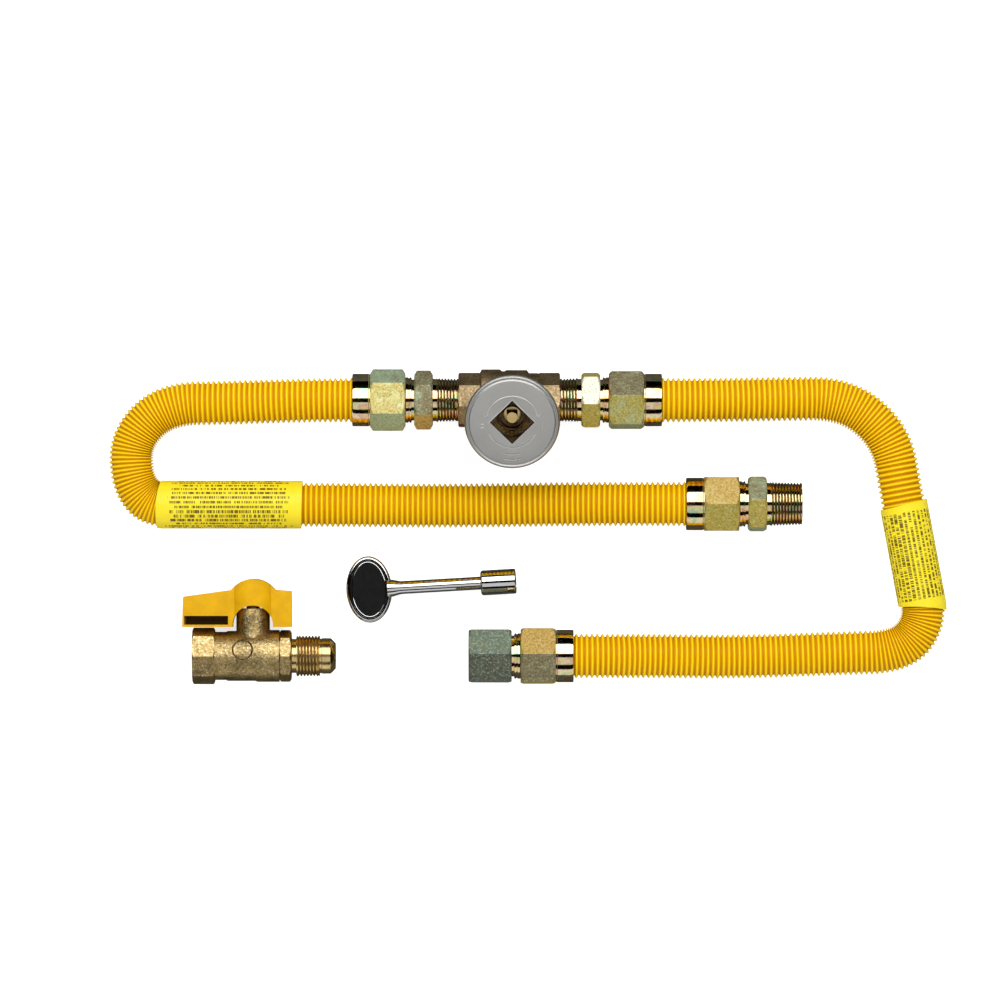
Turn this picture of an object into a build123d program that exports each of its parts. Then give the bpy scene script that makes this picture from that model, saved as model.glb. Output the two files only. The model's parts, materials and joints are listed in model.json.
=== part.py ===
from build123d import *
import math
import os

os.makedirs("parts", exist_ok=True)

# A key valve piped between two coated connectors, with its loose ball valve and loose key beside it.
# Millimetres. +X runs along the key valve's pipe, +Z is up and the set lies on the plane Z = 0.
# The origin is the centre of the set's footprint, measured without the connectors.

# Places of the four groups, each given by its own reference point
VALVE_X, VALVE_Y = 53.0, 74.7  # stem axis of the key valve, where it crosses the pipe
SHUTOFF_X, SHUTOFF_Y = -99.8, -76.3  # stem axis of the ball valve
MALE_END_X, MALE_END_Y = 155.7, 13.4  # where the left connector's free nut begins
FEMALE_END_X, FEMALE_END_Y = 89.3, -76.3  # where the right connector's free nut begins
KEY_X, KEY_Y = -31.5, -37.2  # centre of the key's oval head
KEY_HEADING, KEY_SLOPE = 3.3, 2.1  # degrees in plan, and degrees that the head end drops
KEY_Z = 4.99  # height of the head's centre when the socket rests on the ground

# Connector ends: a flare nut with a collar, a loose flare ring and an adapter
NUT_CORNERS = 36.66  # a 1 1/4 inch hexagon across its corners
COLLAR_LENGTH, COLLAR_R = 10.5, 15.5
NUT_END = 31.3
NECK_END, NECK_R = 36.5, 13.4
ADAPTER_CORNERS, ADAPTER_HEX_END = 35.0, 47.5
THREAD_R, THREAD_PITCH, THREAD_DEPTH = 12.95, 1.814, 0.9  # 3/4 inch taper pipe thread, 14 to the inch
ENGAGED_R = 12.1  # radius at which a male thread fills its hole
BORE_R = 8.0
NOSE_START, NOSE_END = 14.0, 18.0
RING_START = 8.0
HOSE_BORE_R = 9.3
LEFT_EXPOSED, RIGHT_EXPOSED, FREE_EXPOSED = 15.0, 12.6, 20.9
ENGAGED_LENGTH = 11.5
FEMALE_HEX_END, FEMALE_DEPTH = 62.0, 16.0
PIPE_Z = NUT_CORNERS / 2  # the nuts rest on their corners
RUN = 0.06  # radial clearance of a turning or sliding fit

# Key valve, in its own upright frame: pipe along X, stem along Z
STEM_TILT = 14.2  # degrees that the stem leans towards -Y
VALVE_LEFT, VALVE_RIGHT = -31.7, 28.3
OCTAGON_CORNERS = 33.0
BALL_R, PORT_R, CHAMBER_R = 12.2, 7.8, 12.6
SEAT_IN, SEAT_OUT = 8.6, 11.5
CAP_JOINT = 15.5
TOWER_R, CUP_R = 14.4, 12.9
CUP_FLOOR, TOWER_TOP = 34.0, 52.6
STEM_R, COLLAR_STEM_R = 5.0, 6.2
GLAND_R, GLAND_TOP = 8.4, 41.0
STEM_SHOULDER, STEM_TOP, STEM_SQUARE = 37.5, 44.0, 6.35
FLANGE_R, FLANGE_FACE, FLANGE_THICK = 27.9, 56.0, 3.0
FLANGE_HOLE = 18.3  # side of the square hole, set as a diamond
SLEEVE_R, SLEEVE_BOTTOM = 17.2, 43.0

# Ball valve, in its own upright frame
INLET_FACE, INLET_HEX_END = -35.7, -22.4
SHUTOFF_CORNERS = 33.4
BARREL_R, SHOULDER_R = 14.75, 15.3
BODY_END, RING_CORNERS, RING_END = 15.6, 30.6, 22.7
FLARE_NECK_R, FLARE_THREAD_START, FLARE_THREAD_END = 10.0, 26.0, 39.5
FLARE_R, FLARE_PITCH, FLARE_DEPTH = 12.0, 1.9, 1.0
FLARE_NOSE_R, FLARE_END = 10.5, 48.8
SMALL_BALL_R, SMALL_PORT_R, SMALL_CHAMBER_R = 10.8, 7.2, 11.2
SMALL_SEAT_IN, SMALL_SEAT_OUT = 7.8, 10.4
BOSS_R, BOSS_TOP = 9.9, 28.0
SPINDLE_R, SPINDLE_COLLAR_R, SPINDLE_TOP = 4.0, 5.4, 37.5
LEVER_LEFT, LEVER_RIGHT, LEVER_BOTTOM = -41.7, 22.7, 17.1
LEVER_HALF, HUB_R, WALL = 7.5, 13.2, 2.0
CAVITY_TOP, ARCH_R = 33.0, 11.9

# Key
HEAD_LENGTH, HEAD_WIDTH, HEAD_THICK = 26.9, 39.2, 5.6
SHAFT_R, SOCKET_R = 3.85, 7.4
SOCKET_START, SOCKET_END = 66.3, 87.0
SOCKET_SQUARE, SOCKET_DEPTH = 6.8, 15.0
BADGE_THICK, BADGE_RIM = 0.6, 2.4

# Connectors
HOSE_R = 13.2
LABEL_IN, LABEL_OUT = 13.7, 14.2
LAID_Z = 14.35  # height of the axis where a label lies under the hose
REST_Z = 13.5  # height of the axis where the bare hose lies on the ground
LEFT_ROUTE = [
    (-41.2, 74.7, PIPE_Z), (-66.0, 74.7, PIPE_Z), (-113.0, 73.2, 15.6), (-151.5, 72.6, 14.2),
    (-171.8, 52.9, REST_Z), (-171.8, 28.5, REST_Z), (-162.0, 13.0, LAID_Z), (-55.0, 13.0, LAID_Z),
    (20.0, 12.2, 14.2), (90.0, 13.4, 16.4), (132.0, 13.4, PIPE_Z), (MALE_END_X, MALE_END_Y, PIPE_Z),
]
RIGHT_ROUTE = [
    (141.4, 74.7, PIPE_Z), (167.0, 74.7, PIPE_Z), (211.0, 75.4, 15.8), (250.1, 75.8, 14.4),
    (276.6, 53.8, LAID_Z), (297.1, -56.0, LAID_Z), (283.0, -73.7, 14.0), (247.0, -74.8, REST_Z),
    (187.0, -76.9, 13.8), (134.0, -76.3, 16.2), (110.0, -76.3, PIPE_Z),
    (FEMALE_END_X, FEMALE_END_Y, PIPE_Z),
]
LEFT_LABEL_X = (-153.6, -70.0)  # where the left label begins and ends along its straight run
RIGHT_LABEL_SPAN = (42.0, 99.0)  # the same, in millimetres along the slanted run


def turned(*profile):
    """A solid of revolution about X, from its (x, radius) outline."""
    return revolve(make_face(Polyline(*profile, close=True)), Axis.X)


def rod(x0, x1, radius, bore=0.0):
    return turned((x0, bore), (x1, bore), (x1, radius), (x0, radius))


def post(z0, z1, radius, bore=0.0):
    """An upright cylinder or tube on the Z axis."""
    return Rot(0, -90, 0) * rod(z0, z1, radius, bore)


def prism(x0, x1, corners, sides, turn=0.0):
    """A bar along X with bevelled ends. At turn 0 one corner points up."""
    plane = Plane(origin=(x0, 0, 0), x_dir=(0, 0, 1), z_dir=(1, 0, 0))
    radius = corners / 2
    flat = radius * math.cos(math.pi / sides)
    bevel = (radius - flat) * 0.6
    blank = extrude(plane * RegularPolygon(radius, sides, rotation=turn), amount=x1 - x0)
    start, end = x0 + bevel, x1 - bevel
    return blank & turned((x0, 0), (x0, flat), (start, radius), (end, radius), (x1, flat), (x1, 0))


def thread(x0, x1, crest, pitch, depth):
    """Outline points of a thread cut as rings, with a narrow flat on each crest."""
    points = []
    for turn in range(int((x1 - x0) / pitch)):
        start = x0 + turn * pitch
        points += [(start, crest), (start + 0.25 * pitch, crest), (start + 0.62 * pitch, crest - depth)]
    return points + [(x1 - 0.3 * pitch, crest), (x1, crest)]


def pair_of(first, second):
    """Two separate solids kept as one piece of the list."""
    return Compound([first.solid(), second.solid()])


def connector_nut(turn):
    hexagon = prism(COLLAR_LENGTH, NUT_END, NUT_CORNERS, 6, turn)
    collar = turned((0, 0), (0, COLLAR_R - 0.5), (0.5, COLLAR_R), (COLLAR_LENGTH, COLLAR_R),
                    (COLLAR_LENGTH, 0))
    hollow = rod(RING_START, NUT_END, NECK_R + 0.1)
    return hexagon + collar - hollow - rod(0, RING_START, HOSE_BORE_R)


def flare_ring():
    outer = NECK_R - 0.1
    return turned((RING_START, HOSE_BORE_R), (RING_START, outer), (NOSE_END - 0.6, outer),
                  (NOSE_START - 0.3, HOSE_BORE_R))


def flare_nose():
    """The part of an adapter that its nut hides, and the neck that shows between the two hexagons."""
    return [(NOSE_START, BORE_R), (NOSE_START, BORE_R + 1.2), (NOSE_END, NECK_R),
            (NECK_END - 1.6, NECK_R), (NECK_END - 1.6, NECK_R - 1.3), (NECK_END, NECK_R - 1.3)]


def male_adapter(exposed, turn, engaged=0.0):
    thread_end = ADAPTER_HEX_END + exposed
    shank = [(ADAPTER_HEX_END, THREAD_R - 0.6), (ADAPTER_HEX_END + 2.2, THREAD_R - 0.6)]
    shank += thread(ADAPTER_HEX_END + 2.2, thread_end, THREAD_R, THREAD_PITCH, THREAD_DEPTH)
    if engaged:
        shank += [(thread_end, ENGAGED_R), (thread_end + engaged, ENGAGED_R)]
    core = turned(*flare_nose(), *shank, (thread_end + engaged, BORE_R))
    hexagon = prism(NECK_END, ADAPTER_HEX_END, ADAPTER_CORNERS, 6, turn)
    return core + (hexagon - rod(NECK_END, ADAPTER_HEX_END, BORE_R))


def female_adapter(turn):
    start = FEMALE_HEX_END - FEMALE_DEPTH
    core = turned(*flare_nose(), (NECK_END, BORE_R))
    hexagon = prism(NECK_END, FEMALE_HEX_END, ADAPTER_CORNERS, 6, turn)
    return core + (hexagon - rod(NECK_END, start, BORE_R) - rod(start, FEMALE_HEX_END, ENGAGED_R))


def seats(ball_r, port_r, outer, x_in, x_out):
    """Two rings, each with a cone that stands just off the ball."""
    reach = ball_r + 0.08
    mouth = math.sqrt(reach ** 2 - x_in ** 2)
    throat = math.sqrt(reach ** 2 - port_r ** 2)
    outline = [(x_in, mouth), (x_in, outer), (x_out, outer), (x_out, port_r), (throat, port_r)]
    return pair_of(turned(*outline), turned(*[(-x, radius) for x, radius in outline]))


def ball(radius, port_r, slot_width, slot_floor):
    slot = Pos(0, 0, radius) * Box(4 * radius, slot_width, 2 * (radius - slot_floor))
    return Sphere(radius) - rod(-radius, radius, port_r) - slot


def key_valve_body():
    octagon = prism(VALVE_LEFT, -18.5, OCTAGON_CORNERS, 8)
    barrel = turned((-19.0, 0), (-19.0, 16.0), (-18.0, 18.1), (-7.0, 18.1), (-6.0, 17.0), (-4.5, 17.0),
                    (-3.5, 17.7), (8.8, 17.7), (10.0, 15.9), (CAP_JOINT, 15.9), (CAP_JOINT, 0))
    tower = post(0, TOWER_TOP, TOWER_R) + post(14.0, 28.0, 15.4)
    solid = octagon + barrel + tower
    solid -= rod(-SEAT_OUT, CAP_JOINT, CHAMBER_R)
    solid -= rod(VALVE_LEFT, -17.0, ENGAGED_R)
    solid -= rod(-17.0, -SEAT_OUT, PORT_R)
    solid -= post(0, 15.9, COLLAR_STEM_R + 0.3)
    solid -= post(15.9, 27.0, STEM_R + RUN)
    solid -= post(27.0, CUP_FLOOR, GLAND_R)
    return solid - post(CUP_FLOOR, TOWER_TOP, CUP_R)


def key_valve_end_cap():
    octagon = prism(CAP_JOINT, VALVE_RIGHT, OCTAGON_CORNERS, 8)
    spigot = rod(SEAT_OUT, CAP_JOINT, CHAMBER_R)
    return octagon + spigot - rod(SEAT_OUT, 16.0, PORT_R) - rod(16.0, VALVE_RIGHT, ENGAGED_R)


def key_valve_stem():
    tang = Pos(0, 0, 11.3) * Box(9.0, 3.4, 3.8)
    shaft = post(13.0, 15.0, COLLAR_STEM_R) + post(15.0, STEM_SHOULDER, STEM_R)
    square_length = STEM_TOP - STEM_SHOULDER
    square = Pos(0, 0, STEM_TOP - square_length / 2) * Box(STEM_SQUARE, STEM_SQUARE, square_length)
    corner = 0.72 * STEM_SQUARE
    point = turned((STEM_SHOULDER, 0), (STEM_SHOULDER, corner), (STEM_TOP - 1.2, corner), (STEM_TOP, 3.2),
                   (STEM_TOP, 0))
    return tang + shaft + (square & (Rot(0, -90, 0) * point))


def gland_nut():
    """The round nut that presses the packing down, with a wide recess in its top."""
    recess = 7.3
    ring = turned((30.2, STEM_R + 0.1), (30.2, GLAND_R), (GLAND_TOP, GLAND_R), (GLAND_TOP, recess),
                  (36.5, recess), (36.5, STEM_R + 0.1))
    return Rot(0, -90, 0) * ring


def floor_flange():
    back = FLANGE_FACE - FLANGE_THICK
    rim, groove = FLANGE_FACE - 0.2, FLANGE_FACE - 0.6
    disc = turned((back, 0), (back, FLANGE_R), (FLANGE_FACE - 1.1, FLANGE_R), (rim, FLANGE_R - 0.9),
                  (rim, FLANGE_R - 1.5), (groove, FLANGE_R - 1.8), (groove, FLANGE_R - 2.4),
                  (FLANGE_FACE, FLANGE_R - 3.0), (FLANGE_FACE, 0))
    hole = Pos(0, 0, FLANGE_FACE) * Rot(0, 0, 45) * Box(FLANGE_HOLE, FLANGE_HOLE, 4 * FLANGE_THICK)
    sleeve = post(SLEEVE_BOTTOM, back, SLEEVE_R, TOWER_R + RUN)
    return (Rot(0, -90, 0) * disc) - hole + sleeve


def ball_valve_body():
    inlet = prism(INLET_FACE, INLET_HEX_END, SHUTOFF_CORNERS, 8)
    barrel = turned((-23.0, 0), (-23.0, 14.2), (-16.0, 14.2), (-14.8, BARREL_R), (1.4, BARREL_R),
                    (2.6, SHOULDER_R), (BODY_END, SHOULDER_R), (BODY_END, 0))
    boss = post(8.0, BOSS_TOP, BOSS_R)
    stop = Pos(-0.5, -BOSS_R, 25.5) * Box(4.0, 1.2, 4.0)
    solid = inlet + barrel + boss + stop
    solid -= rod(-SMALL_SEAT_OUT, BODY_END, SMALL_CHAMBER_R)
    solid -= rod(INLET_FACE, -20.0, ENGAGED_R)
    solid -= rod(-20.0, -SMALL_SEAT_OUT, SMALL_PORT_R)
    solid -= post(0, 14.4, SPINDLE_COLLAR_R + 0.3)
    solid -= post(14.4, BOSS_TOP, SPINDLE_R + RUN)
    for groove in (19.0, 23.0):
        solid -= post(groove, groove + 1.8, SPINDLE_R + 1.5)
    return solid


def ball_valve_end():
    """The flare end: a ring that screws into the body, a neck, the thread and the coned nose."""
    ring = prism(BODY_END, RING_END, RING_CORNERS, 8)
    spigot = rod(SMALL_SEAT_OUT, BODY_END, SMALL_CHAMBER_R)
    cone = 2.9
    neck = [(RING_END, 0), (RING_END, FLARE_NECK_R), (FLARE_THREAD_START - 0.8, FLARE_NECK_R)]
    nose = [(FLARE_THREAD_END, FLARE_NOSE_R), (FLARE_END - cone, FLARE_NOSE_R),
            (FLARE_END, FLARE_NOSE_R - cone)]
    rings = thread(FLARE_THREAD_START, FLARE_THREAD_END, FLARE_R, FLARE_PITCH, FLARE_DEPTH)
    flare = turned(*neck, *rings, *nose, (FLARE_END, 0))
    return ring + spigot + flare - rod(SMALL_SEAT_OUT, FLARE_END, SMALL_PORT_R)


def ball_valve_spindle():
    tang = Pos(0, 0, 10.1) * Box(7.0, 3.0, 3.2)
    spindle = tang + post(11.7, 13.4, SPINDLE_COLLAR_R) + post(13.4, SPINDLE_TOP, SPINDLE_R)
    return spindle - post(SPINDLE_TOP - 6.0, SPINDLE_TOP, 1.9)


def spindle_o_rings():
    rings = [post(z + 0.05, z + 1.75, SPINDLE_R + 1.4, SPINDLE_R + 0.05) for z in (19.0, 23.0)]
    return pair_of(*rings)


def lever_handle():
    """A hollow cast lever on a round hub, with an arch below the hub and a window along the arm."""
    outline = make_face(Wire([
        Edge.make_line((LEVER_LEFT, LEVER_BOTTOM), (LEVER_LEFT + 0.5, 35.0)),
        Edge.make_line((LEVER_LEFT + 0.5, 35.0), (-12.9, 38.9)),
        Edge.make_three_point_arc((-12.9, 38.9), (0.5, 45.5), (13.2, 39.0)),
        Edge.make_line((13.2, 39.0), (LEVER_RIGHT, 38.3)),
        Edge.make_line((LEVER_RIGHT, 38.3), (LEVER_RIGHT, LEVER_BOTTOM)),
        Edge.make_line((LEVER_RIGHT, LEVER_BOTTOM), (LEVER_LEFT, LEVER_BOTTOM)),
    ]))
    side = extrude(Plane.XZ * outline, amount=HUB_R, both=True)
    middle = (LEVER_LEFT + LEVER_RIGHT) / 2
    arm = Pos(middle, 0, 30) * Box(LEVER_RIGHT - LEVER_LEFT, 2 * LEVER_HALF, 60)
    solid = side & (arm + post(0, 60, HUB_R))
    inner = LEVER_HALF - WALL
    room = (LEVER_RIGHT - LEVER_LEFT) - 2 * WALL
    solid -= Pos(middle, 0, CAVITY_TOP / 2) * Box(room, 2 * inner, CAVITY_TOP)
    solid -= post(0, CAVITY_TOP, HUB_R - WALL)
    arch = Rot(0, 0, 90) * rod(-2 * HUB_R, 2 * HUB_R, ARCH_R)
    solid -= Pos(0, 0, 18.0) * arch
    window_length, window_bottom, window_top = 25.9, 18.5, 23.7
    window = Box(window_length, 2 * WALL + 1, window_top - window_bottom)
    solid -= Pos(-27.5, -LEVER_HALF, (window_bottom + window_top) / 2) * window
    solid -= post(CAVITY_TOP, SPINDLE_TOP, SPINDLE_R)
    return solid - post(SPINDLE_TOP, 42.0, 2.3) - post(42.0, 50.0, 4.4)


def handle_screw():
    head_base, head_top = 42.0, 44.6
    head = post(head_base, head_top, 4.2)
    for angle in (0, 90):
        head -= Pos(0, 0, head_top) * Rot(0, 0, angle) * Box(6.4, 1.2, 2.0)
    return head + post(SPINDLE_TOP - 5.5, head_base, 1.9)


def key_blank():
    """The oval head with a recess in each face, and the round shaft."""
    plan = Ellipse(HEAD_LENGTH / 2, HEAD_WIDTH / 2)
    head = Pos(0, 0, -HEAD_THICK / 2) * extrude(plan, amount=HEAD_THICK)
    head = fillet(head.edges(), 1.6)
    start = HEAD_LENGTH / 2 - 2.5
    end = SOCKET_START + 4
    shaft = turned((start, 0), (start, 5.2), (start + 3.0, 5.0), (start + 8.0, SHAFT_R),
                   (end, SHAFT_R), (end, 0))
    solid = head + shaft
    for face in (-1, 1):
        solid -= badge_panel(face)
    return solid


def badge_panel(face):
    plan = Ellipse(HEAD_LENGTH / 2 - BADGE_RIM, HEAD_WIDTH / 2 - BADGE_RIM)
    floor = HEAD_THICK / 2 - BADGE_THICK
    panel = Pos(0, 0, floor) * extrude(plan, amount=BADGE_THICK)
    return panel if face > 0 else mirror(panel, Plane.XY)


def key_socket():
    blank = turned((SOCKET_START, 0), (SOCKET_START, SOCKET_R - 0.9), (SOCKET_START + 0.9, SOCKET_R),
                   (SOCKET_END - 0.5, SOCKET_R), (SOCKET_END, SOCKET_R - 0.5), (SOCKET_END, 0))
    square = Pos(SOCKET_END - SOCKET_DEPTH / 2, 0, 0) * Box(SOCKET_DEPTH, SOCKET_SQUARE, SOCKET_SQUARE)
    return blank - square - rod(SOCKET_START, SOCKET_START + 4, SHAFT_R)


def corner_radii(route):
    """Each arc is as large as its two runs allow."""
    points = [Vector(*point) for point in route]
    radii = []
    for before, here, after in zip(points, points[1:], points[2:]):
        turn = math.radians((here - before).get_angle(after - here))
        radii.append(0.45 * min((here - before).length, (after - here).length) / math.tan(turn / 2))
    return radii


def hose(name, route):
    radii = corner_radii(route)
    path = FilletPolyline(*route, radius=radii)
    section = Plane(origin=path @ 0, z_dir=path % 0) * Circle(HOSE_R)
    tube = sweep(section, path=path)
    expected = math.pi * HOSE_R ** 2 * path.length
    print(name, "length", round(path.length, 1), "volume ratio", round(tube.volume / expected, 4))
    print("  radii", [round(radius, 1) for radius in radii])
    return tube


def label(start, direction, length):
    plane = Plane(origin=start, z_dir=direction)
    return extrude(plane * (Circle(LABEL_OUT) - Circle(LABEL_IN)), amount=length)


def slanted_label():
    start, end = Vector(*RIGHT_ROUTE[4]), Vector(*RIGHT_ROUTE[5])
    direction = (end - start).normalized()
    first, last = RIGHT_LABEL_SPAN
    return label(start + direction * first, direction, last - first)


def save(name, shape):
    export_step(shape, f"parts/{name}.step")


def connector_end(name, where, nut_turn, adapter):
    save(f"{name}_nut", where * connector_nut(nut_turn))
    save(f"{name}_flare_ring", where * flare_ring())
    save(f"{name}_adapter", where * adapter)


def key_valve_pieces():
    where = Pos(VALVE_X, VALVE_Y, PIPE_Z) * Rot(STEM_TILT, 0, 0)
    save("key_valve_body", where * key_valve_body())
    save("key_valve_end_cap", where * key_valve_end_cap())
    save("key_valve_ball", where * ball(BALL_R, PORT_R, 3.6, 9.2))
    save("key_valve_seats", where * seats(BALL_R, PORT_R, CHAMBER_R - 0.1, SEAT_IN, SEAT_OUT))
    save("key_valve_stem", where * key_valve_stem())
    save("key_valve_thrust_washer", where * post(15.1, 15.8, COLLAR_STEM_R, STEM_R + RUN))
    save("key_valve_packing", where * post(27.0, 30.1, GLAND_R - 0.1, STEM_R + RUN))
    save("key_valve_gland_nut", where * gland_nut())
    save("key_valve_stop_pin", where * Pos(0, -10.7, 0) * post(CUP_FLOOR, 40.0, 1.8))
    save("floor_flange", where * floor_flange())


def ball_valve_pieces():
    where = Pos(SHUTOFF_X, SHUTOFF_Y, SHUTOFF_CORNERS / 2) * Rot(-90, 0, 0)
    save("ball_valve_body", where * ball_valve_body())
    save("ball_valve_flare_end", where * ball_valve_end())
    save("ball_valve_ball", where * ball(SMALL_BALL_R, SMALL_PORT_R, 3.2, 8.4))
    save("ball_valve_seats",
         where * seats(SMALL_BALL_R, SMALL_PORT_R, SMALL_CHAMBER_R - 0.1, SMALL_SEAT_IN, SMALL_SEAT_OUT))
    save("ball_valve_spindle", where * ball_valve_spindle())
    save("ball_valve_thrust_washer", where * post(13.5, 14.3, SPINDLE_COLLAR_R, SPINDLE_R + RUN))
    save("ball_valve_o_rings", where * spindle_o_rings())
    save("ball_valve_handle", where * lever_handle())
    save("ball_valve_handle_screw", where * handle_screw())


def key_pieces():
    where = Pos(KEY_X, KEY_Y, KEY_Z) * Rot(0, 0, KEY_HEADING) * Rot(0, -KEY_SLOPE, 0)
    save("key_blank", where * key_blank())
    save("key_socket", where * key_socket())
    for side, face in (("front", 1), ("back", -1)):
        save(f"key_badge_{side}", where * badge_panel(face))


def main():
    key_valve_pieces()
    reach = ADAPTER_HEX_END + LEFT_EXPOSED
    left = Pos(VALVE_X + VALVE_LEFT - reach, VALVE_Y, PIPE_Z)
    connector_end("left_valve", left, 27.0, male_adapter(LEFT_EXPOSED, 30.0, ENGAGED_LENGTH))
    reach = ADAPTER_HEX_END + RIGHT_EXPOSED
    right = Pos(VALVE_X + VALVE_RIGHT + reach, VALVE_Y, PIPE_Z) * Rot(0, 0, 180)
    connector_end("right_valve", right, 8.5, male_adapter(RIGHT_EXPOSED, -8.5, ENGAGED_LENGTH))
    connector_end("left_free", Pos(MALE_END_X, MALE_END_Y, PIPE_Z), 0.0, male_adapter(FREE_EXPOSED, -8.0))
    female_place = Pos(FEMALE_END_X, FEMALE_END_Y, PIPE_Z) * Rot(0, 0, 180)
    connector_end("right_free", female_place, 5.0, female_adapter(5.0))
    save("left_hose", hose("left hose", LEFT_ROUTE))
    save("right_hose", hose("right hose", RIGHT_ROUTE))
    first, last = LEFT_LABEL_X
    save("left_label", label((first, LEFT_ROUTE[6][1], LAID_Z), (1, 0, 0), last - first))
    save("right_label", slanted_label())
    ball_valve_pieces()
    key_pieces()


main()
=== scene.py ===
import json
import math

import bmesh
import bpy
import numpy as np
from mathutils import Matrix, Vector, noise

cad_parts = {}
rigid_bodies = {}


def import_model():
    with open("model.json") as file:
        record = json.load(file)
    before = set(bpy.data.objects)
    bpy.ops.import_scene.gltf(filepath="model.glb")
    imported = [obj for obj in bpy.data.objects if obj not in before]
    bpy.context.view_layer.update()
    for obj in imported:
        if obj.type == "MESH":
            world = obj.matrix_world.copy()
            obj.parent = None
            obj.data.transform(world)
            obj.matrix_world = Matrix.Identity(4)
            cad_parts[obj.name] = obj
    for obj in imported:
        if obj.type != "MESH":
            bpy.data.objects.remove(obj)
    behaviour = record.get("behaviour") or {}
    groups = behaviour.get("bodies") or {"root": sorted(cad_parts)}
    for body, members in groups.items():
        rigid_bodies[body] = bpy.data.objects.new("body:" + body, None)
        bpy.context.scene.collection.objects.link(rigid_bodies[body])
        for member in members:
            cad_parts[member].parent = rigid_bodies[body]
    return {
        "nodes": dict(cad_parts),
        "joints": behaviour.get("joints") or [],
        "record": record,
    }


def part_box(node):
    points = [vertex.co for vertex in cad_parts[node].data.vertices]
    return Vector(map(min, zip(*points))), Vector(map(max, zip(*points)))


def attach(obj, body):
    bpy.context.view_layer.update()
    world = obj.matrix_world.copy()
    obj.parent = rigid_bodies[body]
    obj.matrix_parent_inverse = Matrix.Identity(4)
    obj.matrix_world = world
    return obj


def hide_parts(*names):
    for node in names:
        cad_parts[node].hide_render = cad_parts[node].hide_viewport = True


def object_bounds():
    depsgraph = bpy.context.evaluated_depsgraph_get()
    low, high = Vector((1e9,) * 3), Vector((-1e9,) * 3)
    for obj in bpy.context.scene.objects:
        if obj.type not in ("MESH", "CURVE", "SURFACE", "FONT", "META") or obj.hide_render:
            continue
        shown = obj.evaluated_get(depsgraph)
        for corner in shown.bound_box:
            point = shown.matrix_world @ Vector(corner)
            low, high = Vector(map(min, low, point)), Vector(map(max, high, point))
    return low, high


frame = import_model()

bl_info = {
    "name": "Gas key valve set",
    "version": (1, 0, 0),
    "blender": (4, 5, 0),
    "location": "View3D > Sidebar > Valve set",
    "description": "Builds a key valve, two coated connectors, a ball valve and a key round a fixed frame",
    "category": "Add Mesh",
}

CAD_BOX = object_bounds()
MM = 0.001
JOINTS = {joint["name"]: joint for joint in frame["joints"]}
SLOT_OF = {part["node"]: part["material_slot"] for part in frame["record"]["subparts"]}
STEM_FOOT = Vector(JOINTS["key_stem_turn"]["pos_m"])
STEM_AXIS = Vector(JOINTS["key_stem_turn"]["axis"])
SPINDLE_FOOT = Vector(JOINTS["lever_turn"]["pos_m"])

# The connectors' routes, in metres, from the key valve's nut to the free nut
PIPE_Z = 0.01833
LEFT_ROUTE = [
    (-0.0412, 0.0747, PIPE_Z), (-0.066, 0.0747, PIPE_Z), (-0.113, 0.0732, 0.0156),
    (-0.1515, 0.0726, 0.0142), (-0.1718, 0.0529, 0.0135), (-0.1718, 0.0285, 0.0135),
    (-0.162, 0.013, 0.01435), (-0.143, 0.01302, 0.01435), (-0.055, 0.013, 0.01435),
    (0.020, 0.0122, 0.0142), (0.090, 0.0134, 0.0164), (0.132, 0.0134, PIPE_Z), (0.1557, 0.0134, PIPE_Z),
]
RIGHT_ROUTE = [
    (0.1414, 0.0747, PIPE_Z), (0.167, 0.0747, PIPE_Z), (0.211, 0.0754, 0.0158), (0.2501, 0.0758, 0.0144),
    (0.2766, 0.0538, 0.01435), (0.2829, 0.020, 0.01435), (0.293, -0.0338, 0.01435),
    (0.2971, -0.056, 0.01435), (0.283, -0.0737, 0.014), (0.247, -0.0748, 0.0135),
    (0.187, -0.0769, 0.0138), (0.134, -0.0763, 0.0162), (0.110, -0.0763, PIPE_Z), (0.0893, -0.0763, PIPE_Z),
]


# ---- settings

def color(name, description, value):
    return bpy.props.FloatVectorProperty(name=name, description=description, subtype="COLOR", size=3,
                                         min=0.0, max=1.0, default=value)


def length(name, description, value, unit="LENGTH"):
    return bpy.props.FloatProperty(name=name, description=description, unit=unit, default=value)


def power(name, description, value):
    return length(name, description, value, "POWER")


class StageSettings(bpy.types.PropertyGroup):
    floor: color("Floor", "Colour of the plain floor", (0.9, 0.9, 0.9))
    surroundings: color("Surroundings", "Soft light on matt surfaces from all round", (0.5, 0.5, 0.5))
    light_height: length("Light distance", "Distance of the soft lights from the middle of the set", 1.5)
    key_power: power("Key light", "Power of the large soft light", 22.0)
    fill_power: power("Fill light", "Power of the light on the near side", 3.4)
    low_power: power("Low light", "Power of the light near the floor", 4.0)
    camera_height: length("Camera height", "Height of the camera over the floor", 5.0)
    view_width: length("View width", "Width that the view shows at the height of the pipes", 0.59)
    view_offset: bpy.props.FloatVectorProperty(
        name="View offset", description="From the middle of the set to that of the view", size=2,
        unit="LENGTH", default=(-0.016, 0.0157))


class ConnectorSettings(bpy.types.PropertyGroup):
    pitch: length("Corrugation pitch", "Distance from one corrugation to the next", 0.00317)
    crest_radius: length("Crest radius", "Radius over the corrugations", 0.0132)
    depth: length("Groove depth", "Depth of the grooves between corrugations", 0.0020)
    crest: color("Crest", "Colour of the coating on the crests", (0.98, 0.69, 0.002))
    # The groove colour is painted shade: the coating is darker amber down in the grooves.
    groove: color("Groove", "Colour of the coating in the grooves", (0.60, 0.24, 0.0))
    film: color("Film", "Colour of the printed film", (0.88, 0.69, 0.006))
    film_light: color("Film, lighter", "Lighter colour of the printed film", (0.95, 0.78, 0.03))
    ink: color("Ink", "Colour of the printed dashes", (0.07, 0.045, 0.01))


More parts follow.
